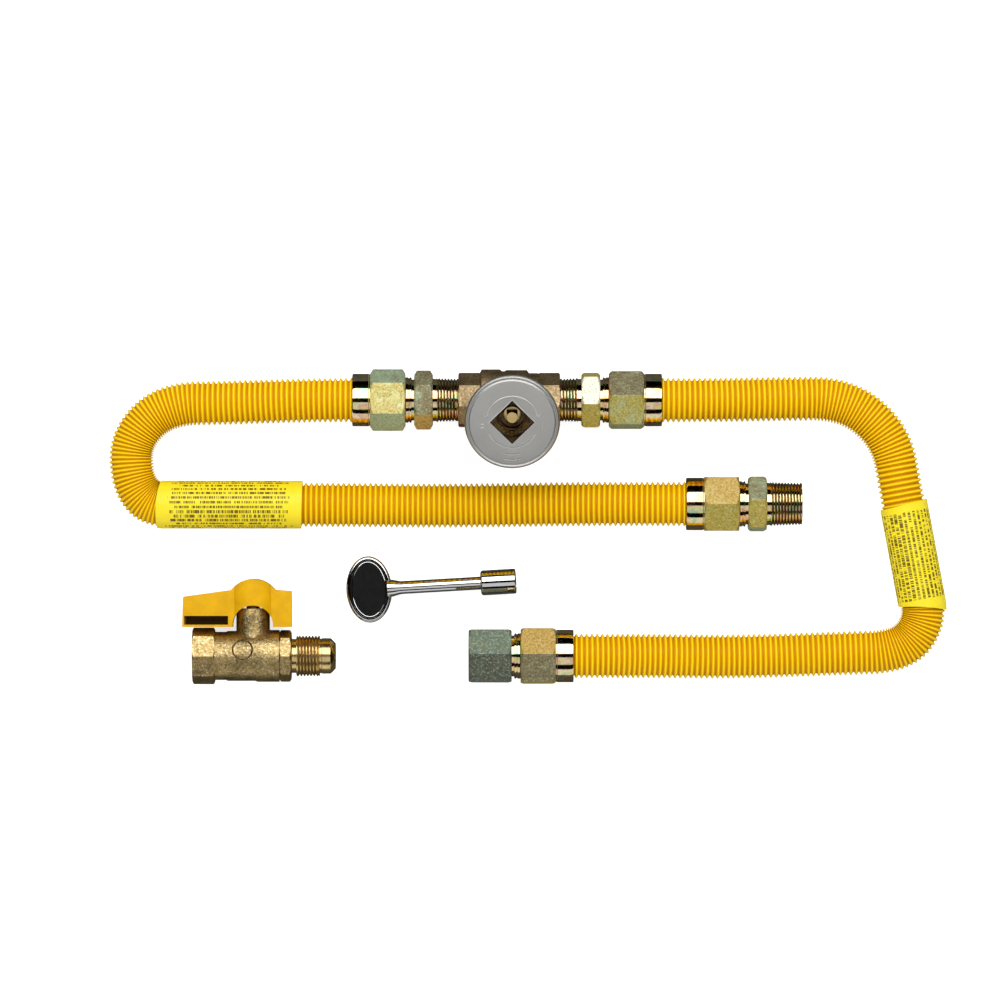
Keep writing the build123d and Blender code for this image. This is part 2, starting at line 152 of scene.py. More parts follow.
class FittingSettings(bpy.types.PropertyGroup):
    corner: length("Corner radius", "Radius of the corners of nuts and octagons", 0.0005)
    # From grey to pale, these are partly the plating's own colours and partly painted light and shade on the
    # flats.
    grey: color("Grey plating", "Plating of the greyest flats", (0.10, 0.12, 0.095))
    slate: color("Slate plating", "Plating of the green-grey flats", (0.19, 0.27, 0.21))
    umber: color("Umber plating", "Plating of the brownest flats", (0.26, 0.21, 0.10))
    green: color("Green plating", "Plating of the green flats", (0.47, 0.62, 0.41))
    olive: color("Olive plating", "Plating of the olive flats", (0.54, 0.45, 0.08))
    tan: color("Tan plating", "Plating of the pinkish flats", (0.66, 0.43, 0.11))
    pale: color("Pale plating", "Plating of the palest flats", (0.74, 0.67, 0.24))


class MetalSettings(bpy.types.PropertyGroup):
    forged: color("Forged brass", "Colour of the key valve's forging", (0.50, 0.36, 0.19))
    cast: color("Blasted brass", "Colour of the ball valve's body", (0.66, 0.47, 0.19))
    turned: color("Turned brass", "Colour of bright turned brass", (0.92, 0.68, 0.30))
    satin: color("Satin plating", "Colour of the floor flange", (0.66, 0.655, 0.63))
    bright: color("Bright plating", "Colour of the key's bright plating", (0.80, 0.80, 0.80))
    paint: color("Lever paint", "Colour of the lever's paint", (0.72, 0.385, 0.0005))
    badge: color("Badge paint", "Colour of the key's sunk panels", (0.004, 0.004, 0.004))


GROUPS = {
    "valve_stage": StageSettings,
    "valve_connectors": ConnectorSettings,
    "valve_fittings": FittingSettings,
    "valve_metals": MetalSettings,
}


# ---- finishes

def math_node(operation):
    """A method that adds a Math node for a value and any others that it is given."""
    return lambda value, *others: value.math(operation, value, *others)


class Value:
    """A shader socket that takes part in plain arithmetic."""

    def __init__(self, nodes, socket):
        self.nodes = nodes
        self.socket = socket

    def math(self, operation, *operands):
        node = self.nodes.add("ShaderNodeMath", {"operation": operation}, dict(enumerate(operands)))
        return Value(self.nodes, node.outputs[0])

    def __rsub__(self, other):
        return self.math("SUBTRACT", other, self)

    def clipped(self):
        return self.math("MINIMUM", self.math("MAXIMUM", self, 0.0), 1.0)

    __add__ = __radd__ = math_node("ADD")
    __mul__ = __rmul__ = math_node("MULTIPLY")
    __sub__ = math_node("SUBTRACT")
    __truediv__ = math_node("DIVIDE")
    above = math_node("GREATER_THAN")
    below = math_node("LESS_THAN")
    size = math_node("ABSOLUTE")
    part = math_node("FRACT")
    whole = math_node("FLOOR")


class Nodes:
    """A node tree, whose nodes all come from one method."""

    def __init__(self, tree):
        self.tree = tree

    def add(self, kind, settings=None, sockets=None):
        """A node of a kind, with its settings first and then the values or links of its sockets."""
        node = self.tree.nodes.new(kind)
        for name, setting in (settings or {}).items():
            if name == "stops":
                self.set_stops(node.color_ramp, setting)
            else:
                setattr(node, name, setting)
        for name, value in (sockets or {}).items():
            if isinstance(value, Value):
                value = value.socket
            if isinstance(value, bpy.types.NodeSocket):
                self.tree.links.new(value, node.inputs[name])
            else:
                node.inputs[name].default_value = value
        return node

    @staticmethod
    def set_stops(ramp, stops):
        while len(ramp.elements) < len(stops):
            ramp.elements.new(0.5)
        for element, (place, tint) in zip(ramp.elements, stops):
            element.position = place
            element.color = (*tint, 1.0)

    def mix(self, factor, first, second):
        """Goes from the first colour to the second one."""
        first, second = ((*tint, 1.0) if isinstance(tint, tuple) else tint for tint in (first, second))
        return self.add("ShaderNodeMix", {"data_type": "RGBA"}, {0: factor, 6: first, 7: second}).outputs[2]


class Finish(Nodes):
    """One material: a principled shader and the nodes that vary it."""

    def __init__(self, name, base, **numbers):
        self.material = bpy.data.materials.new(name)
        self.material.use_nodes = True
        super().__init__(self.material.node_tree)
        self.tree.nodes.clear()
        self.shader = self.add("ShaderNodeBsdfPrincipled")
        self.shader.inputs["Base Color"].default_value = (*base, 1.0)
        for words, number in numbers.items():
            self.shader.inputs[words.replace("_", " ").title().replace("Ior", "IOR")].default_value = number
        self.add("ShaderNodeOutputMaterial", None, {"Surface": self.shader.outputs[0]})
        self.place = self.add("ShaderNodeTexCoord").outputs["Object"]

    def noise(self, size, detail=2.0, stretch=None, roughness=0.5):
        """Noise whose features are about size metres across."""
        where = self.place
        if stretch:
            where = self.add("ShaderNodeVectorMath", {"operation": "MULTIPLY"}, {0: where, 1: stretch})
            where = where.outputs[0]
        node = self.add("ShaderNodeTexNoise", None,
                        {"Vector": where, "Scale": 1.0 / size, "Detail": detail, "Roughness": roughness})
        return Value(self, node.outputs["Fac"])

    def streaks(self, along, row, size=1.0):
        """Noise along a row, in features of a size. Each row has its own."""
        where = self.add("ShaderNodeCombineXYZ", None, {0: along / size, 1: row}).outputs[0]
        node = self.add("ShaderNodeTexNoise", None, {"Vector": where, "Scale": 1.0, "Detail": 1.0})
        return Value(self, node.outputs["Fac"])

    def attribute(self, name):
        return Value(self, self.add("ShaderNodeAttribute", {"attribute_name": name}).outputs["Fac"])

    def ramp(self, factor, *stops):
        return self.add("ShaderNodeValToRGB", {"stops": stops}, {"Fac": factor}).outputs["Color"]

    def feed(self, socket, value):
        self.tree.links.new(value.socket if isinstance(value, Value) else value, self.shader.inputs[socket])

    def vary(self, base, roughness, height, distance):
        """Feeds what varies: the colour, the roughness, and the height of bumps up to a distance."""
        self.feed("Base Color", base)
        self.feed("Roughness", roughness)
        sockets = {"Height": height, "Distance": distance, "Strength": 1.0}
        self.feed("Normal", self.add("ShaderNodeBump", None, sockets).outputs["Normal"])
        return self


def shade(base, factor):
    return tuple(min(1.0, channel * factor) for channel in base)


def metal(name):
    """A colour of the metal settings."""
    return tuple(getattr(bpy.context.scene.valve_metals, name))


def plating_stops(fittings):
    """The tints of the plating and their places, from the greyest to one that is nearly white, which is a
    painted highlight.
    """
    places = {"grey": 0.0, "slate": 0.12, "umber": 0.24, "green": 0.4, "olive": 0.6, "tan": 0.78,
              "pale": 0.92}
    stops = [(place, tuple(getattr(fittings, tint))) for tint, place in places.items()]
    # The nearly white stop is a painted highlight.
    return stops + [(1.0, (1.0, 1.0, 0.8))]


def grained(finish, body, grain, painted_glints, painted_pit_shades):
    """A body colour with painted glints, and painted shade in pits where the grain is low. Both give how
    much, and in what colour.
    """
    # Painted highlight: glints lighten the body colour.
    bright = finish.mix(painted_glints[0], body, painted_glints[1])
    # Painted shade: darker where the grain is low, down in the pits.
    painted_pit_shade = ((0.48 - grain) * 6.0).clipped()
    return finish.mix(painted_pit_shade * painted_pit_shades[0], bright, painted_pit_shades[1])


def blasted_plating(name):
    """Passivated zinc over blasted steel. Each flat has its own tint, partly the plating's colour and partly
    painted light and shade, with painted glints where crystals would catch the light.
    """
    fittings = bpy.context.scene.valve_fittings
    finish = Finish(name, tuple(fittings.olive), metallic=0.55)
    mottling = (finish.noise(0.006, 4.0) - 0.5) * 0.26
    # The ramp gives each flat the plating's colour with painted light and shade, nearly white as a painted
    # highlight.
    body = finish.ramp(finish.attribute("facet") + mottling, *plating_stops(fittings))
    grain = finish.noise(0.0012, 3.0, roughness=0.8)
    # Painted glints on the high grain, which is also smoother.
    painted_glint = ((grain - 0.52) * 6.0).clipped()
    base = grained(finish, body, grain, (painted_glint * 0.45, (1.0, 0.95, 0.6)), (0.7, (0.12, 0.10, 0.04)))
    return finish.vary(base, 0.56 - painted_glint * 0.2, grain, 0.00022)


def bright_plating(name):
    """The same plating on turned steel: rainbow tints, and painted shade down in a thread."""
    finish = Finish(name, tuple(bpy.context.scene.valve_fittings.pale), metallic=1.0)
    clear = finish.ramp(finish.noise(0.006), (0.32, (0.45, 0.72, 0.50)), (0.42, (0.92, 0.80, 0.36)),
                        (0.50, (0.95, 0.84, 0.52)), (0.58, (0.88, 0.50, 0.42)), (0.66, (0.90, 0.72, 0.28)))
    # Painted shade: darker down in the thread's grooves.
    sunk = ((finish.attribute("sunk") - 0.3) * 1.3).clipped()
    return finish.vary(finish.mix(sunk, clear, (0.10, 0.075, 0.03)),
                       finish.noise(0.003, 3.0) * 0.10 + 0.04 + sunk * 0.3,
                       finish.noise(0.0005, 1.0, stretch=(1.0, 0.1, 0.1)), 0.000012)


def rough_brass(name, base, roughness, grain_size, painted_glints):
    """Blasted or forged brass with a skin of fine pits in painted shade and high spots with painted glints.
    """
    finish = Finish(name, base, metallic=1.0)
    drift = finish.noise(0.010, 3.0)
    body = finish.ramp(drift, (0.3, shade(base, 0.62)), (0.5, base), (0.68, shade(base, 1.25)))
    grain = finish.noise(grain_size, 3.0, roughness=0.75)
    # Painted glints on the high grain, which is also smoother.
    painted_glint = ((grain - 0.52) * 7.0).clipped()
    skin = grained(finish, body, grain, (painted_glint * painted_glints, (1.0, 0.88, 0.56)), (0.75, shade(base, 0.22)))
    return finish.vary(skin, roughness - painted_glint * 0.15, grain, 0.0004)


def forged_brass(name):
    return rough_brass(name, metal("forged"), 0.48, 0.0013, 0.35)


def blasted_brass(name):
    return rough_brass(name, metal("cast"), 0.36, 0.0016, 0.75)


def turned_brass(name, roughness=0.17):
    """Bright brass off the lathe, with fine rings round it, faint staining, and painted shade down in a
    thread.
    """
    base = metal("turned")
    finish = Finish(name, base, metallic=1.0)
    stain = finish.noise(0.006, 3.0)
    clear = finish.ramp(stain, (0.3, shade(base, 0.8)), (0.55, base), (0.7, shade(base, 1.1)))
    # Painted shade: darker down in the thread's grooves.
    sunk = ((finish.attribute("sunk") - 0.35) * 1.3).clipped()
    return finish.vary(finish.mix(sunk, clear, shade(base, 0.28)), stain * 0.12 + roughness + sunk * 0.3,
                       finish.noise(0.0004, 1.0, stretch=(1.0, 0.1, 0.1)), 0.000012)


def machined_brass(name):
    return turned_brass(name, 0.21)


def shaded_brass(name):
    """Dark brown brass: painted shade on the parts down in the key valve's pocket and on the stem's sides.
    The ball valve's cast ring is made in it too.
    """
    finish = Finish(name, (0.10, 0.065, 0.03), metallic=1.0)
    stain = finish.noise(0.003, 3.0)
    finish.feed("Base Color", finish.ramp(stain, (0.35, (0.05, 0.035, 0.02)), (0.65, (0.20, 0.13, 0.06))))
    finish.feed("Roughness", stain * 0.2 + 0.25)
    return finish


def satin_plating(name):
    """Satin chromium with a very fine even grain."""
    base = metal("satin")
    finish = Finish(name, base, metallic=1.0)
    cloud = finish.noise(0.016, 3.0)
    return finish.vary(finish.mix(cloud, shade(base, 0.93), shade(base, 1.07)),
                       finish.noise(0.0005, 1.0) * 0.12 + 0.38, finish.noise(0.0004), 0.00004)


def bright_chrome(name):
    """Mirror plating with faint hand marks."""
    base = metal("bright")
    finish = Finish(name, base, metallic=1.0)
    mark = finish.noise(0.006, 3.0)
    return finish.vary(finish.mix(mark, shade(base, 0.94), shade(base, 1.06)), mark * 0.10 + 0.03,
                       finish.noise(0.003), 0.00002)


def lever_paint(name):
    """Thick glossy powder paint with an orange-peel skin."""
    base = metal("paint")
    finish = Finish(name, base, specular_ior_level=0.2)
    tone = finish.noise(0.008, 3.0)
    return finish.vary(finish.ramp(tone, (0.3, shade(base, 0.9)), (0.7, shade(base, 1.08))),
                       finish.noise(0.002) * 0.15 + 0.27, finish.noise(0.0014), 0.00010)


def badge_paint(name):
    """Smooth black paint down in the key's panels."""
    base = metal("badge")
    finish = Finish(name, base, specular_ior_level=0.12)
    return finish.vary(finish.mix(finish.noise(0.004, 3.0), base, (0.012, 0.012, 0.012)),
                       finish.noise(0.002) * 0.15 + 0.25, finish.noise(0.0009), 0.00005)


def hose_coating(name):
    """Thin flexible coating: bright on the crests, and a darker amber in the grooves as painted shade."""
    look = bpy.context.scene.valve_connectors
    finish = Finish(name, tuple(look.crest), specular_ior_level=0.25)
    cloud = finish.noise(0.025)
    # Painted shade: the coating darkens to amber down in the grooves, with a little random cloud in it.
    tone = ((finish.attribute("groove") - 0.15) * 1.2 + (cloud - 0.5) * 0.25).clipped()
    return finish.vary(finish.mix(tone, tuple(look.crest), tuple(look.groove)),
                       finish.noise(0.0016) * 0.18 + 0.26, finish.noise(0.0012), 0.00002)


def label_film(name):
    """Yellow film with rows of short printed dashes that spell nothing. The UVs are in millimetres from the
    middle of the film and of its top."""
    look = bpy.context.scene.valve_connectors
    row_pitch, half_row, margin = 2.85, 0.27, 4.5
    bold_row, bold_rows, bolder = 2.0, 1.2, 0.09
    shortest_reach, reach_spread = 15.0, 34.0
    word_length, letter_length = 4.2, 0.62
    finish = Finish(name, tuple(look.film), specular_ior_level=0.3)
    uv = finish.add("ShaderNodeSeparateXYZ", None, {0: finish.add("ShaderNodeUVMap").outputs[0]})
    along, across = Value(finish, uv.outputs[0]), Value(finish, uv.outputs[1])
    row = (across / row_pitch).whole()
    height = ((across / row_pitch).part() - 0.5).size()
    bold = (row - bold_row).size().below(bold_rows) * bolder
    in_row = height.below(half_row + bold)
    reach = finish.streaks(row * 3.7, 0.0) * reach_spread + shortest_reach
    word = finish.streaks(along, row * 5.3, word_length).above(0.36)
    letter = finish.streaks(along, row * 9.1, letter_length).above(0.47)
    inside = along.size().below(finish.attribute("half_length") - margin)
    printed = in_row * inside * along.size().below(reach) * word * letter
    base = finish.mix(finish.noise(0.010), tuple(look.film), tuple(look.film_light))
    return finish.vary(finish.mix(printed * 0.9, base, tuple(look.ink)), finish.noise(0.003) * 0.15 + 0.3,
                       finish.noise(0.005), 0.0003)


def plain(base, least, grain, spread=0.2, **numbers):
    """A maker of a plain finish, whose roughness starts from its least and varies in grains of a size."""
    def make(name):
        finish = Finish(name, base, **numbers)
        finish.feed("Roughness", finish.noise(grain) * spread + least)
        return finish
    return make


ring_steel = plain((0.55, 0.55, 0.55), 0.18, 0.003, metallic=1.0)
# Painted shade: dark steel and paint on the faces down in an opening and in the lever's hollow
shaded_plating = plain((0.05, 0.045, 0.04), 0.35, 0.002, metallic=1.0)
shaded_paint = plain((0.06, 0.03, 0.002), 0.5, 0.002, 0.15, specular_ior_level=0.1)

MAKERS = {maker.__name__: maker for maker in (
    blasted_plating, forged_brass, blasted_brass, machined_brass, shaded_brass, bright_chrome, hose_coating,
    label_film)}
MAKERS.update(
    yellow_zinc_steel=bright_plating, bright_brass=turned_brass, satin_chrome=satin_plating,
    plated_brass=bright_chrome, stainless_ring=ring_steel, zinc_steel=ring_steel, yellow_enamel=lever_paint,
    black_enamel=badge_paint, shaded_plating=shaded_plating, shaded_paint=shaded_paint,
    ptfe=plain((0.82, 0.82, 0.80), 0.4, 0.003), seal_rubber=plain((0.02, 0.02, 0.02), 0.5, 0.001))


def finish_of(name):
    """The material of a finish, made the first time that it is asked for."""
    finished = name + "_finish"
    return bpy.data.materials.get(finished) or MAKERS[name](finished).material


# ---- shapes

def add_piece(name, mesh, body, finishes, nodes=()):
    """Links a mesh as a piece that rides on a body and stands for CAD nodes."""
    piece = bpy.data.objects.new(name, mesh)
    bpy.context.scene.collection.objects.link(piece)
    for finish in finishes:
        mesh.materials.append(finish_of(finish))
    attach(piece, body)
    if nodes:
        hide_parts(*nodes)
    return piece


def carry_over(*nodes):
    """Gives CAD nodes that stay their finish."""
    for node in nodes:
        piece = frame["nodes"][node]
        for place in piece.material_slots:
            place.material = finish_of(SLOT_OF[node])


def crisp(mesh, degrees):
    """Smooth shading with edges sharper than an angle kept crisp."""
    mesh.shade_smooth()
    mesh.set_sharp_from_angle(angle=math.radians(degrees))


def mark_points(mesh, mark, values):
    """Stores a number at each point, which the finishes read."""
    mesh.attributes.new(mark, "FLOAT", "POINT").data.foreach_set("value", np.asarray(values, np.float32))


def full_turn(steps):
    """Angles once round, in equal steps."""
    return np.linspace(0, 2 * math.pi, steps, endpoint=False)


def clean(mesh):
    """Merges doubled points and turns every face outwards."""
    work = bmesh.new()
    work.from_mesh(mesh)
    bmesh.ops.remove_doubles(work, verts=work.verts, dist=1e-7)
    bmesh.ops.recalc_face_normals(work, faces=work.faces)
    work.to_mesh(mesh)
    work.free()


def polygon(sides, corners, turn):
    """Angles round a bar, and the radius at each of a polygon with rounded corners."""
    corner_steps, flat_steps = 7, 12
    fillet = bpy.context.scene.valve_fittings.corner / MM
    half = math.pi / sides
    flat = corners / 2 * math.cos(half)
    centre = (flat - fillet) / math.cos(half)
    blend = half - math.atan((flat - fillet) * math.tan(half) / flat)
    offsets = np.concatenate([np.linspace(-blend, blend, corner_steps),
                              np.linspace(blend, 2 * half - blend, flat_steps)[1:-1]])
    away = np.minimum(np.abs(offsets), np.abs(2 * half - offsets))
    rounded = centre * np.cos(away) + np.sqrt(np.maximum(0.0, fillet ** 2 - (centre * np.sin(away)) ** 2))
    radii = np.where(away < blend, rounded, flat / np.cos(half - away))
    angles = [math.radians(turn) + 2 * half * side + offsets for side in range(sides)]
    return np.concatenate(angles), np.tile(radii, sides)


class Bar:
    """A piece made of rings round the X axis, in millimetres. The last ring meets the first in its bore."""

    def __init__(self, sides, corners, turn):
        self.sides, self.turn = sides, turn
        self.angles, self.radii = polygon(sides, corners, turn)
        self.rings, self.finish, self.sunk = [], [], []

    def ring(self, x, radius, finish=1, sunk=0.0):
        self.rings.append((x, np.broadcast_to(radius, self.angles.shape).astype(float)))
        self.finish.append(finish)
        self.sunk.append(np.broadcast_to(sunk, self.angles.shape))

    def turned(self, *points):
        for x, radius in points:
            self.ring(x, radius)

    def prism(self, start, end):
        """A polygon whose ends are bevelled by shallow cones."""
        cone_start, cone_slope = 0.975 * self.radii.min(), 1.75
        steps = np.array([0.0, 0.15, 0.35, 0.6, 0.9, 1.25, 1.7])
        places = [(start + step, step) for step in steps] + [(end - step, step) for step in steps[::-1]]
        for x, step in places:
            self.ring(x, np.minimum(self.radii, cone_start + step * cone_slope), 0)

    def thread(self, start, end, crest, pitch, depth, taper=0.0):
        """A right-handed thread that starts and ends faintly."""
        rings_a_turn, crest_width, flank_width, run_out = 10, 0.2, 0.68, 0.6 * pitch
        stations = np.linspace(start, end, int(abs(end - start) / pitch * rings_a_turn) + 1)
        low, high = min(start, end), max(start, end)
        for x in stations:
            turn = (x / pitch - self.angles / (2 * math.pi)) % 1.0
            wave = np.clip((np.abs(2 * turn - 1) - crest_width) / flank_width, 0, 1)
            fade = min(1.0, min(x - low, high - x) / run_out)
            self.ring(x, crest - taper * (x - low) - depth * wave * fade, sunk=wave * fade)

    def facets(self, tints_and_shades):
        """A tint for each flat, along the angles. It is partly the plating's colour and partly painted light
        and shade on that flat.
        """
        index = np.floor((self.angles - math.radians(self.turn)) / (2 * math.pi / self.sides) + 1e-6)
        return np.array(tints_and_shades)[index.astype(int) % self.sides]

    def build(self, name, matrix, tints_and_shades=None):
        count, rows = len(self.angles), len(self.rings)
        # an angle of 0 points along +Z, and grows towards -Y
        across, up = -np.sin(self.angles), np.cos(self.angles)
        points = [np.stack([np.full(count, x), radii * across, radii * up], 1) for x, radii in self.rings]
        mesh = loft(name, [[matrix @ Vector(point * MM) for point in row] for row in points])
        kinds = [max(self.finish[row], self.finish[(row + 1) % rows]) for row in range(rows)]
        mesh.polygons.foreach_set("material_index", np.repeat(kinds, count))
        # How deep each point sits in a thread; the finishes darken it there as painted shade.
        mark_points(mesh, "sunk", np.concatenate(self.sunk))
        # Each flat's tint, partly painted light and shade, is stored for the plating to read.
        if tints_and_shades:
            mark_points(mesh, "facet", np.tile(self.facets(tints_and_shades), rows))
        clean(mesh)
        crisp(mesh, 24)
        return mesh


def loft(name, rows, capped=False):
    """A mesh over rows of points, each a closed loop. It is capped, or its last row meets its first."""
    count, total = len(rows[0]), len(rows)
    points = [Vector(point) for row in rows for point in row]
    faces = []
    for row in range(total - 1 if capped else total):
        after = (row + 1) % total
        for i in range(count):
            j = (i + 1) % count
            faces.append((row * count + i, row * count + j, after * count + j, after * count + i))
    if capped:
        for row in (0, total - 1):
            points.append(sum((Vector(point) for point in rows[row]), Vector()) / count)
            hub = len(points) - 1
            faces += [(hub, row * count + i, row * count + (i + 1) % count) for i in range(count)]
    mesh = bpy.data.meshes.new(name)
    mesh.from_pydata(points, [], faces)
    return mesh


def eased(node, width, segments):
    """A copy of a CAD node's mesh with its sharp edges rounded, in millimetres."""
    weld, flatness, sharp = 2e-6, math.radians(0.6), math.radians(28)
    work = bmesh.new()
    work.from_mesh(frame["nodes"][node].data)
    bmesh.ops.remove_doubles(work, verts=work.verts, dist=weld)
    bmesh.ops.dissolve_limit(work, angle_limit=flatness, verts=work.verts, edges=work.edges)
    edges = [edge for edge in work.edges if len(edge.link_faces) == 2 and edge.calc_face_angle(0.0) > sharp]
    bmesh.ops.bevel(work, geom=edges, offset=width * MM, segments=segments, profile=0.6, affect="EDGES",
                    clamp_overlap=True)
    bmesh.ops.triangulate(work, faces=[face for face in work.faces if len(face.verts) > 4])
    mesh = bpy.data.meshes.new(node + "_eased")
    work.to_mesh(mesh)
    work.free()
    mesh.materials.clear()
    mesh.polygons.foreach_set("material_index", [0] * len(mesh.polygons))
    crisp(mesh, 30)
    return mesh


def eased_piece(node, body, width, segments=2, finish=None):
    """A piece that is a CAD node with its edges rounded."""
    mesh = eased(node, width, segments)
    return add_piece(node + "_finished", mesh, body, [finish or SLOT_OF[node]], [node])


def second_finish(piece, finish, chosen):
    """Gives the faces that a test picks, by their place and the way they face, another finish."""
    piece.data.materials.append(finish_of(finish))
    for face in piece.data.polygons:
        if chosen(piece.matrix_world @ face.center, face.normal):
            face.material_index = 1


def route_points(route):
    """Points along the smooth line of a connector's route."""
    curve = bpy.data.curves.new("route", "CURVE")
    curve.dimensions = "3D"
    curve.resolution_u = 40
    spline = curve.splines.new("NURBS")
    spline.points.add(len(route) - 1)
    for point, place in zip(spline.points, route):
        point.co = (*place, 1.0)
    spline.order_u = 3
    spline.use_endpoint_u = True
    holder = bpy.data.objects.new("route", curve)
    line = bpy.data.meshes.new_from_object(holder)
    points = [vertex.co.copy() for vertex in line.vertices]
    bpy.data.objects.remove(holder)
    bpy.data.meshes.remove(line)
    bpy.data.curves.remove(curve)
    return points


class Route:
    """A smooth line, walked by distance, with a steady frame that doesn't twist."""

    def __init__(self, route):
        self.points = np.array(route_points(route))
        steps = np.linalg.norm(np.diff(self.points, axis=0), axis=1)
        self.distance = np.concatenate([[0.0], np.cumsum(steps)])
        self.length = float(self.distance[-1])

    def place(self, s):
        """Points at distances s, which run on in line a little past both ends."""
        inside = np.clip(s, 0.0, self.length)
        points = np.stack([np.interp(inside, self.distance, self.points[:, k]) for k in range(3)], 1)
        for beyond, first, second in ((s - inside < 0, 0, 1), (s - inside > 0, -1, -2)):
            outward = self.points[first] - self.points[second]
            outward /= np.linalg.norm(outward)
            points[beyond] += np.abs(s - inside)[beyond, None] * outward
        return points

    def frames(self, s):
        """Centres, and the sideways and upward directions there."""
        s = np.asarray(s, float)
        ahead = self.place(s + 0.002) - self.place(s - 0.002)
        forward = ahead / np.linalg.norm(ahead, axis=1)[:, None]
        side = np.cross(np.broadcast_to([0.0, 0.0, 1.0], forward.shape), forward)
        side /= np.linalg.norm(side, axis=1)[:, None]
        return self.place(s), side, np.cross(forward, side)

    def nearest(self, point):
        """The distance along the line at which it passes a point."""
        return float(self.distance[np.argmin(np.linalg.norm(self.points - np.array(point), axis=1))])


def upright(foot, lean):
    """The frame of a valve from the foot of its stem, and the angle by which it leans about X."""
    return Matrix.Translation(foot) @ Matrix.Rotation(lean, 4, "X")


# ---- connector ends

LINE = "valve_line"
NUT_CORNERS, ADAPTER_CORNERS = 36.66, 35.0
COLLAR_END, NUT_END, NECK_END = 10.5, 31.3, 36.5
ADAPTER_END, SOCKET_END = 47.5, 62.0
NECK_R, BORE_R, HOSE_BORE_R = 13.4, 8.0, 9.3
PIPE_THREAD_R, PIPE_PITCH, PIPE_DEPTH, PIPE_TAPER = 12.95, 1.814, 1.0, 1 / 32
ENGAGED_R, ENGAGED_LENGTH = 12.1, 11.5
ADAPTER_START, BORE_START = 14.0, 20.0

# Each end: the degrees that its nut is turned and the tint of each of its six flats, then the same for its
# adapter. A tint goes from 0 for the greyest plating to 1 for the palest, and the mottling adds to it.
# Above 1 it runs into a nearly white painted highlight. Each tint is partly the plating's own colour and
# partly painted light and shade on that flat. The first flat follows the first corner.
ENDS = {
    "left_valve": (27.0, (0.40, 0.6, 0.5, 0.7, 0.36, 0.90), 30.0, (0.80, 0.6, 0.5, 0.4, 0.25, 0.26)),
    "right_valve": (8.5, (0.24, 0.5, 0.7, 0.6, 0.40, 0.56), -8.5, (1.12, 0.6, 0.4, 0.7, 0.50, 0.62)),
    "left_free": (0.0, (0.62, 0.5, 0.6, 0.4, 0.70, 0.80), -8.0, (0.62, 0.4, 0.5, 0.7, 0.60, 0.30)),
    "right_free": (5.0, (0.76, 0.5, 0.4, 0.6, 0.60, 0.24), 5.0, (0.11, 0.2, 0.3, 0.1, 0.10, 0.0)),
}


def end_frame(end):
    """The frame of a connector's end: its origin at the collar's face, +X towards the adapter."""
    low, high = map(Vector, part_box(f"{end}_nut"))
    ring_low, ring_high = map(Vector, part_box(f"{end}_flare_ring"))
    adapter_low, adapter_high = map(Vector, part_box(f"{end}_adapter"))
    onwards = adapter_low.x + adapter_high.x > low.x + high.x
    centre = (ring_low + ring_high) / 2
    centre.x = low.x if onwards else high.x
    return Matrix.Translation(centre) @ Matrix.Rotation(0.0 if onwards else math.pi, 4, "Z")


def fitting(bar, end, kind, node, tints_and_shades):
    """Makes a bar into a plated piece at a connector's end."""
    mesh = bar.build(f"{end}_{kind}", end_frame(end), tints_and_shades)
    add_piece(f"{end}_{kind}", mesh, LINE, ["blasted_plating", "yellow_zinc_steel"], [f"{end}_{node}"])


def flare_nut(end):
    """A long flare nut with a round collar, from whose mouth the hose comes."""
    turn, tints_and_shades = ENDS[end][:2]
    nut = Bar(6, NUT_CORNERS, turn)
    nut.turned((0.0, 13.9), (0.0, 14.9), (0.15, 15.3), (0.6, 15.5), (3.0, 15.5), (COLLAR_END - 0.9, 15.5),
               (COLLAR_END - 0.5, 15.2), (COLLAR_END, 15.2))
    nut.prism(COLLAR_END, NUT_END)
    nut.turned((NUT_END, 14.4), (NUT_END - 0.7, NECK_R + 0.1), (8.0, NECK_R + 0.1), (8.0, HOSE_BORE_R),
               (1.6, HOSE_BORE_R), (1.6, 13.6), (0.3, 13.6))
    fitting(nut, end, "flare_nut", "nut", tints_and_shades)


def hexagon_adapter(end, hexagon_end):
    """The neck that sits in the flare nut, and a hexagon after it."""
    bar = Bar(6, ADAPTER_CORNERS, ENDS[end][2])
    bar.turned((ADAPTER_START, BORE_R), (ADAPTER_START, 9.2), (18.0, 13.3), (31.6, 13.3), (31.9, NECK_R),
               (32.9, NECK_R), (33.2, 12.9), (33.7, 12.9), (34.0, NECK_R), (34.8, NECK_R), (35.1, 12.1),
               (NECK_END, 12.1))
    bar.prism(NECK_END, hexagon_end)
    return bar


def pipe_adapter(end, free):
    """A hexagon with a male pipe thread, which ends free or is screwed into a valve."""
    bar = hexagon_adapter(end, ADAPTER_END)
    low, high = map(Vector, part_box(f"{end}_adapter"))
    tip = (high.x - low.x) / MM + ADAPTER_START
    thread_end = tip if free else tip - ENGAGED_LENGTH
    bar.turned((ADAPTER_END, 13.6), (ADAPTER_END + 0.1, 12.6), (ADAPTER_END + 2.0, 12.35))
    bar.thread(ADAPTER_END + 2.2, thread_end - 0.3, PIPE_THREAD_R, PIPE_PITCH, PIPE_DEPTH, PIPE_TAPER)
    if free:
        bar.turned((tip, 11.5), (tip, 8.6), (tip - 0.6, BORE_R), (BORE_START, BORE_R))
    else:
        bar.turned((thread_end, ENGAGED_R), (tip, ENGAGED_R), (tip, BORE_R), (BORE_START, BORE_R))
    fitting(bar, end, "pipe_adapter", "adapter", ENDS[end][3])


